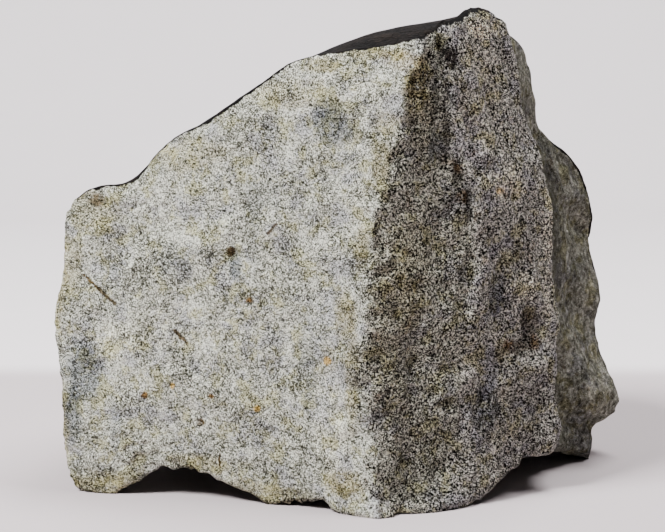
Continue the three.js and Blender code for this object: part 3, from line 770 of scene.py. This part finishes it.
@dataclass(frozen=True)
class StoneFinish:
    """The stone's material: broken chondrite with its grain and staining, under a thin dark skin, with
    painted shade on the faces turned from the light and painted highlights on grains.
    """

    tones: tuple[tuple[float, tuple[float, ...]], ...] = (
        (0.02, srgb(48, 48, 40)),
        (0.26, srgb(108, 108, 95)),
        (0.44, srgb(152, 153, 138)),
        (0.60, srgb(177, 179, 164)),
        (0.78, srgb(199, 201, 186)),
        (0.98, srgb(246, 247, 234)),
    )
    # The ramp for the faces turned from the light: their own darker colour with painted shade on top.
    dark_and_shaded_tones: tuple[tuple[float, tuple[float, ...]], ...] = (
        (0.08, srgb(8, 8, 8)),
        (0.34, srgb(33, 32, 29)),
        (0.50, srgb(66, 65, 59)),
        (0.64, srgb(106, 105, 96)),
        (0.80, srgb(166, 164, 152)),
        (1.00, srgb(252, 249, 236)),
    )
    olive: tuple[float, ...] = (0.76, 0.73, 0.48, 1.0)
    blue: tuple[float, ...] = (0.70, 0.70, 0.84, 1.0)
    rusty: tuple[float, ...] = (0.62, 0.46, 0.32, 1.0)
    purplish: tuple[float, ...] = (1.0, 0.975, 0.99, 1.0)
    band_green: tuple[float, ...] = (0.98, 0.98, 0.93, 1.0)
    speck: tuple[float, ...] = srgb(34, 31, 27)
    skin_black: tuple[float, ...] = srgb(12, 11, 11)
    skin_brown: tuple[float, ...] = srgb(28, 23, 20)
    skin_scuffed: tuple[float, ...] = srgb(60, 52, 46)
    skin_crack: tuple[float, ...] = srgb(10, 9, 8)
    rim_width_mm: float = 0.45
    rim_blur_mm: float = 0.12
    bump_mm: float = 0.9
    fine: Pattern = Pattern(0.20, detail=1.0)
    middling: Pattern = Pattern(1.0, detail=3.0, roughness=0.6)
    patch: Pattern = Pattern(3.4, detail=3.0, roughness=0.6)
    blotch: Pattern = Pattern(12.0, detail=3.0, roughness=0.6)
    streaky: Pattern = Pattern(0.55, detail=1.0)
    torn: Pattern = Pattern(2.4, detail=4.0, roughness=0.65)
    warm: Pattern = Pattern(4.2, detail=4.0, roughness=0.65)
    cool: Pattern = Pattern(6.5, detail=4.0, roughness=0.65)
    rim_torn: Pattern = Pattern(1.6, detail=3.0)
    flaked: Pattern = Pattern(7.0, detail=5.0, roughness=0.6)
    skin_blotch: Pattern = Pattern(12.0, detail=4.0)
    skin_fine: Pattern = Pattern(0.8, detail=3.0)
    grain_mm: float = 0.33
    grain_shake: Shake = Shake(0.8, 0.5)
    speck_mm: float = 2.7
    speck_shake: Shake = Shake(0.9, 0.9)
    spot_shake: Shake = Shake(1.1, 0.9)
    crack_mm: float = 4.2
    crack_shake: Shake = Shake(2.5, 1.6)
    streak_stretch: tuple[float, float, float] = (1.0, 1.0, 0.3)
    tone_start: float = 0.42
    sparkle_lift: float = 0.7
    far_evenness: float = 0.85
    far_paleness: float = 0.38
    dark_evenness: float = 0.6
    dark_edge: tuple[float, float] = (0.36, 0.64)
    sparkling: tuple[float, float] = (0.84, 0.92)
    tint_grain: tuple[float, float] = (0.26, 0.50)
    tinted: tuple[float, float] = (0.50, 0.62)
    rusted: tuple[float, float] = (0.40, 0.30)
    speck_chosen: tuple[float, float] = (0.50, 0.55)
    skin_browned: tuple[float, float] = (0.45, 0.70)
    skin_rubbed: tuple[float, float] = (0.56, 0.70)
    crack_line: tuple[float, float] = (0.035, 0.012)
    crack_places: tuple[float, float] = (0.40, 0.52)
    flake_places: tuple[float, float] = (0.70, 0.73)
    stone_roughness: float = 0.95
    skin_roughness: float = 0.80
    specular: float = 0.05
    spots: tuple[Spot, ...] = (
        grain(-24.8, -34.3, 54.0, 1.3, DARK_RUST),
        grain(-21.0, -36.2, 44.0, 1.0, RUST),
        grain(-31.6, -32.2, 16.9, 1.1, DARK_RUST),
        grain(-29.1, -33.8, 23.1, 0.8, RUST),
        grain(-43.9, -29.2, 22.3, 0.9, RUST),
        grain(-19.5, -36.1, 21.0, 1.0, OCHRE),
        grain(-37.7, -31.1, 24.7, 0.8, OCHRE),
        grain(-4.8, -42.0, 32.2, 1.1, OCHRE),
        # The vein lies in a groove: its dark brown is partly its own colour, partly painted shade in the
        # groove.
        Spot((-57.0, -24.0, 47.6), (-53.4, -25.9, 44.6), 0.35, DARK_RUST),
        Spot((-53.4, -25.9, 44.6), (-50.1, -26.9, 41.7), 0.6, (0.22, 0.18, 0.13)),
        Spot((-37.0, -30.3, 36.5), (-34.6, -31.2, 34.0), 0.6, (0.26, 0.20, 0.14)),
        Spot((-27.5, -33.1, 10.8), (-27.8, -33.3, 4.6), 0.3, DARK_RUST),
        Spot((-13.6, -38.8, 81.2), (-9.0, -40.0, 83.4), 0.25, (0.2, 0.16, 0.13)),
        Spot((-16.9, -37.5, 58.2), (-15.4, -38.0, 60.0), 0.5, (0.25, 0.2, 0.16)),
    )

    def build(self, name: str = "chondrite") -> bpy.types.Material:
        """Makes the material.

        Args:
            name: The material's name.

        Returns:
            The finished material.
        """
        g = Graph(name)
        place = g.node("ShaderNodeTexCoord").outputs["Object"]
        stone, grain_height = self._broken(g, place)
        skin, skin_height = self._skin_colour(g, place)
        covered = self._skin_cover(g, place, g.attribute("rim"))
        colour = g.mix(covered, stone, skin)
        smoother = self.skin_roughness - self.stone_roughness
        rough = g.math("MULTIPLY_ADD", covered, smoother, self.stone_roughness)
        height = g.blend(covered, grain_height, skin_height)
        bump = g.node("ShaderNodeBump", {"Height": height, "Distance": self.bump_mm * MM})
        return g.finish(colour, rough, {"Normal": bump.outputs[0], "Specular IOR Level": self.specular})

    def _broken(self, g: Graph, place) -> tuple[bpy.types.NodeSocket, bpy.types.NodeSocket]:
        """The broken stone's colour and its fine height.

        Args:
            g: The material's nodes.
            place: The place in the stone.

        Returns:
            The colour and the height that the bump is made from.
        """
        dark, far, streaks = (g.attribute(key) for key in ("dark", "far", "streaks"))
        dark = g.ramp(g.math("ADD", dark, self._sum(g, (g.noise(place, self.torn), 2.2))), *self.dark_edge)
        fine, middling = g.noise(place, self.fine), g.noise(place, self.middling)
        patch, blotch = g.noise(place, self.patch), g.noise(place, self.blotch)
        grains = g.cells(g.shaken(place, self.grain_shake), self.grain_mm).outputs["Color"]
        facets = g.node("ShaderNodeSeparateColor", {0: grains}).outputs
        along = g.vector_math("MULTIPLY", {0: g.attribute("along", "Vector"), 1: self.streak_stretch})
        streaked = g.noise(along, self.streaky)
        near_tone = self._sum(g, (fine, 4.9), (facets[0], 1.0), (middling, 0.8))
        streak_tone = self._sum(g, (fine, 6.2), (facets[0], 1.2), (streaked, 1.1), (middling, 0.8))
        far_tone = self._sum(g, (middling, 1.3), (fine, 0.2))
        tone = g.blend(streaks, near_tone, streak_tone)
        tone = g.blend(g.math("MULTIPLY", far, self.far_evenness), tone, far_tone)
        broad = self._sum(g, (patch, 1.3), (blotch, 1.1))
        tone = g.math("MULTIPLY_ADD", broad, g.math("MULTIPLY_ADD", dark, -self.dark_evenness, 1.0), tone)
        # Bright flecks on the faces turned from the light: partly the stone's own pale grains, partly painted
        # highlight where grains catch the light.
        sparkle = g.math("MULTIPLY", g.ramp(facets[2], *self.sparkling), g.math("SUBTRACT", dark, far))
        tone = g.math("ADD", g.math("MULTIPLY_ADD", sparkle, self.sparkle_lift, self.tone_start), tone)
        # Painted shade with some real darkening: the faces turned from the light are darker still and take
        # the darker ramp.
        tone = g.math("ADD", tone, self._sum(g, (dark, -0.05), (streaks, -0.07)))
        shaded = g.math("MULTIPLY_ADD", far, -self.far_paleness, dark)
        colour = g.mix(shaded, g.tones(tone, self.tones), g.tones(tone, self.dark_and_shaded_tones))
        right = g.math("MAXIMUM", streaks, far)
        colour = g.mix(right, colour, self.purplish, "MULTIPLY")
        colour = g.mix(g.math("SUBTRACT", dark, right, clamp=True), colour, self.band_green, "MULTIPLY")
        colour = self._tinted(g, place, colour, dark)
        # The tinted patches: staining, with painted shade in pits, creases and recesses and a painted
        # highlight along the right edge.
        stain_and_painted_light = g.mix(g.ramp(middling, *self.tint_grain), WHITE, g.attribute("stain_and_painted_light", "Color"))
        colour = g.mix(1.0, colour, stain_and_painted_light, "MULTIPLY")
        wandering = g.shaken(place, self.spot_shake)
        for spot in self.spots:
            colour = g.mix(g.near(wandering, spot), colour, (*spot.tint, 1.0), "MULTIPLY")
        colour, specks = self._specks(g, place, colour)
        height = self._sum(g, (fine, 0.5), (facets[1], 0.35), (middling, 0.9))
        height = g.math("ADD", height, g.math("MULTIPLY", g.math("MULTIPLY", streaks, streaked), 0.8))
        height = g.math("MULTIPLY", height, g.math("MULTIPLY_ADD", dark, 1.6, 0.9))
        height = g.blend(g.math("MULTIPLY", far, 0.7), height, g.math("MULTIPLY", middling, 0.8))
        return colour, g.math("MULTIPLY_ADD", specks, -0.25, height)

    @staticmethod
    def _sum(g: Graph, *parts: tuple[bpy.types.NodeSocket, float]) -> bpy.types.NodeSocket:
        """A weighted sum of values from 0 to 1, centred on 0.

        Args:
            g: The material's nodes.
            parts: Each value with its weight.

        Returns:
            The sum.
        """
        total = 0.0
        for value, weight in parts:
            total = g.math("MULTIPLY_ADD", value, weight, total)
        return g.math("SUBTRACT", total, 0.5 * sum(weight for _, weight in parts))

    def _tinted(self, g: Graph, place, colour, dark) -> bpy.types.NodeSocket:
        """Patches of olive, blue-grey and rust over the grain."""
        warm, cool = g.noise(place, self.warm), g.noise(place, self.cool)
        colour = g.mix(g.math("MULTIPLY", g.ramp(warm, *self.tinted), 0.75), colour, self.olive, "MULTIPLY")
        colour = g.mix(g.math("MULTIPLY", g.ramp(cool, *self.tinted), 0.7), colour, self.blue, "MULTIPLY")
        rust = g.math("MULTIPLY", g.ramp(warm, *self.rusted), g.math("MULTIPLY_ADD", dark, 0.45, 0.08))
        return g.mix(rust, colour, self.rusty, "MULTIPLY")

    def _specks(self, g: Graph, place, colour) -> tuple[bpy.types.NodeSocket, bpy.types.NodeSocket]:
        """Small dark grains of metal and sulphide, one in about half of the cells, each of its own size."""
        cells = g.cells(g.shaken(place, self.speck_shake), self.speck_mm)
        kind = g.node("ShaderNodeSeparateColor", {0: cells.outputs["Color"]}).outputs
        size = g.math("MULTIPLY_ADD", kind[0], 0.14, 0.03)
        speck = g.ramp(g.math("SUBTRACT", cells.outputs["Distance"], size), 0.03, -0.03)
        shown = g.math("MULTIPLY", speck, g.ramp(kind[1], *self.speck_chosen))
        return g.mix(g.math("MULTIPLY", shown, 0.85), colour, self.speck), shown

    def _skin_colour(self, g: Graph, place) -> tuple[bpy.types.NodeSocket, bpy.types.NodeSocket]:
        """The melted skin's colour and its fine height, with its shrinkage cracks."""
        blotch, fine = g.noise(place, self.skin_blotch), g.noise(place, self.skin_fine)
        colour = g.mix(g.ramp(blotch, *self.skin_browned), self.skin_black, self.skin_brown)
        scuffed = g.math("MULTIPLY", g.ramp(fine, *self.skin_rubbed), 0.25)
        colour = g.mix(scuffed, colour, self.skin_scuffed)
        wandering = g.shaken(place, self.crack_shake)
        edge = g.cells(wandering, self.crack_mm, "DISTANCE_TO_EDGE").outputs["Distance"]
        crack = g.math("MULTIPLY", g.ramp(edge, *self.crack_line), g.ramp(blotch, *self.crack_places))
        colour = g.mix(g.math("MULTIPLY", crack, 0.6), colour, self.skin_crack)
        height = g.math("SUBTRACT", g.math("MULTIPLY", fine, 0.35), g.math("MULTIPLY", crack, 0.4))
        return colour, height

    def _skin_cover(self, g: Graph, place, rim) -> bpy.types.NodeSocket:
        """1 where the skin covers the stone: behind the rim and over its edge, but not on flaked spots."""
        edge = g.math("ADD", rim, self._sum(g, (g.noise(place, self.rim_torn), 1.6)))
        cover = g.ramp(edge, self.rim_width_mm + self.rim_blur_mm, self.rim_width_mm - self.rim_blur_mm)
        flakes = g.ramp(g.noise(place, self.flaked), *self.flake_places)
        return g.math("MULTIPLY", cover, g.math("SUBTRACT", 1.0, flakes))


@dataclass(frozen=True)
class PaperSweep:
    """The plain floor and wall, one sheet with a soft bend between them.

    The sheet turns up far behind the stone, so that nothing hides the stone from behind. The soft line behind
    the stone is a change of tone on the floor, between seam_from and seam_to.
    """

    front: float = -0.9
    bend_at: float = 0.5
    bend_radius: float = 0.25
    bend_steps: int = 16
    seam_from: float = 0.098
    seam_to: float = 0.122
    height: float = 1.1
    half_width: float = 1.6
    roughness: float = 0.9
    mottling: Pattern = Pattern(60.0)
    mottling_share: float = 0.05
    floor_colour: tuple[float, ...] = srgb(183, 173, 175)
    wall_colour: tuple[float, ...] = srgb(222, 216, 218)

    def build(self) -> bpy.types.Object:
        """Makes the sheet.

        Returns:
            The finished backdrop.
        """
        shape = bmesh.new()
        start = [shape.verts.new((x, self.front, 0.0)) for x in (-self.half_width, self.half_width)]
        edge = shape.edges.new(start)
        floor = bmesh.ops.extrude_edge_only(shape, edges=[edge])["geom"]
        ends = [v for v in floor if isinstance(v, bmesh.types.BMVert)]
        bmesh.ops.translate(shape, verts=ends, vec=(0, self.bend_at - self.front, 0))
        bend = [e for e in floor if isinstance(e, bmesh.types.BMEdge) and all(v in ends for v in e.verts)]
        swept = bmesh.ops.spin(
            shape,
            geom=ends + bend,
            cent=(0, self.bend_at, self.bend_radius),
            axis=(1, 0, 0),
            angle=math.pi / 2,
            steps=self.bend_steps,
        )["geom_last"]
        last = [e for e in swept if isinstance(e, bmesh.types.BMEdge)]
        wall = bmesh.ops.extrude_edge_only(shape, edges=last)["geom"]
        tops = [v for v in wall if isinstance(v, bmesh.types.BMVert)]
        bmesh.ops.translate(shape, verts=tops, vec=(0, 0, self.height))
        bmesh.ops.recalc_face_normals(shape, faces=shape.faces)
        mesh = bpy.data.meshes.new("backdrop")
        shape.to_mesh(mesh)
        shape.free()
        mesh.shade_smooth()
        sheet = bpy.data.objects.new("backdrop", mesh)
        bpy.context.scene.collection.objects.link(sheet)
        sheet.data.materials.append(self._paper())
        return sheet

    def _paper(self) -> bpy.types.Material:
        """Plain matt paper with the faintest mottling, a little brighter behind the stone."""
        g = Graph("paper")
        place = g.node("ShaderNodeTexCoord").outputs["Object"]
        back = g.node("ShaderNodeSeparateXYZ", {0: place}).outputs["Y"]
        colour = g.mix(g.ramp(back, self.seam_from, self.seam_to), self.floor_colour, self.wall_colour)
        share = self.mottling_share
        tone = g.math("MULTIPLY_ADD", g.noise(place, self.mottling), share, 1 - share / 2)
        grey = g.node("ShaderNodeCombineColor", {0: tone, 1: tone, 2: tone}).outputs[0]
        colour = g.mix(1.0, colour, grey, "MULTIPLY")
        return g.finish(colour, self.roughness)


@dataclass(frozen=True)
class SoftLight:
    """One rectangular studio light."""

    name: str
    place: tuple[float, float, float]
    aim: tuple[float, float, float]
    size: tuple[float, float]
    power: float

    def build(self) -> None:
        """Hangs the light and aims it."""
        lamp = bpy.data.lights.new(self.name, "AREA")
        lamp.shape = "RECTANGLE"
        lamp.size, lamp.size_y = self.size
        lamp.energy = self.power
        held = bpy.data.objects.new(self.name, lamp)
        held.location = self.place
        held.rotation_euler = (Vector(self.aim) - Vector(self.place)).to_track_quat("-Z", "Y").to_euler()
        bpy.context.scene.collection.objects.link(held)


@dataclass(frozen=True)
class Studio:
    """The backdrop, the lights and the camera."""

    lens_mm: float = 100.0
    sensor_mm: float = 36.0
    tilt_deg: float = 8.0
    camera_mm: tuple[float, float, float] = (-3.62, -416.4, 104.6)
    air_light: float = 0.06
    air_colour: tuple[float, ...] = (0.94, 0.96, 1.0, 1.0)
    lights: tuple[SoftLight, ...] = (
        SoftLight("key", (-0.58, -0.42, 0.90), (0.0, 0.0, 0.05), (0.35, 0.35), 34.0),
        SoftLight("top", (0.30, 0.02, 0.95), (0.25, -0.03, 0.0), (0.7, 0.25), 15.0),
    )

    def build(self) -> None:
        """Sets up the backdrop, lights, air and camera."""
        PaperSweep().build()
        for light in self.lights:
            light.build()
        self._air()
        self._camera()

    def _air(self) -> None:
        """Even pale light from all round."""
        world = bpy.data.worlds.new("air")
        world.use_nodes = True
        background = world.node_tree.nodes["Background"]
        background.inputs["Color"].default_value = self.air_colour
        background.inputs["Strength"].default_value = self.air_light
        bpy.context.scene.world = world

    def _camera(self) -> None:
        """Places the camera where the photo was taken from."""
        lens = bpy.data.cameras.new("camera")
        lens.lens, lens.sensor_width = self.lens_mm, self.sensor_mm
        lens.clip_start, lens.clip_end = 0.01, 20.0
        camera = bpy.data.objects.new("camera", lens)
        camera.location = mm(*self.camera_mm)
        camera.rotation_euler = Euler((math.radians(90 - self.tilt_deg), 0, 0))
        bpy.context.scene.collection.objects.link(camera)
        bpy.context.scene.camera = camera


def main() -> None:
    """Builds the stone, dresses it and sets up the studio."""
    logging.basicConfig(level=logging.INFO, format="%(message)s")
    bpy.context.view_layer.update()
    stone = StoneBody().build()
    stone.data.materials.append(StoneFinish().build())
    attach(stone, "root")
    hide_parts(CAD_NODE)
    log.info("%s: %d triangles", stone.name, len(stone.data.polygons))
    Studio().build()


if __name__ == "__main__":
    main()
